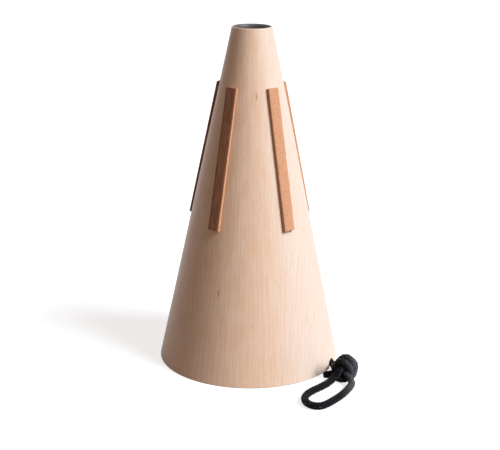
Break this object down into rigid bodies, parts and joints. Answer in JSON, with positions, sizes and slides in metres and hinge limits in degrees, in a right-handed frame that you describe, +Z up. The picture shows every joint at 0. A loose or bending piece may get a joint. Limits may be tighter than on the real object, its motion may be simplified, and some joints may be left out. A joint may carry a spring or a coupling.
{
  "type": "french horn mute",
  "caption": "Turned wooden cone that stands in a horn's bell on cork strips, with an open throat tube, a closed wide end and a knotted wrist cord.",
  "frame": {"origin": "centre of the foot, on the surface that the mute stands on", "axes": "+Z up along the cone's axis to the open throat; -Y is the front, and the cord lies to the front and +X"},
  "size_m": [0.1393, 0.1603, 0.235],
  "materials": {
    "beech": "fine sanded beech with straight grain, thin satin oil",
    "plywood": "sanded birch plywood",
    "throat_black": "satin black tube",
    "cork": "cut sheet cork, matt, open pores",
    "cord_braid": "soft black braided cord"
  },
  "bodies": {
    "root": {"cone_shell": "beech", "base_plate": "plywood", "throat_tube": "throat_black", "cork_strip_1": "cork", "cork_strip_2": "cork", "cork_strip_3": "cork", "cork_strip_4": "cork", "cork_strip_5": "cork", "cord_lead": "cord_braid", "cord_loop": "cord_braid", "cord_cut_end": "cord_braid", "loop_knot": "cord_braid", "stopper_knot": "cord_braid"}
  },
  "joints": []
}
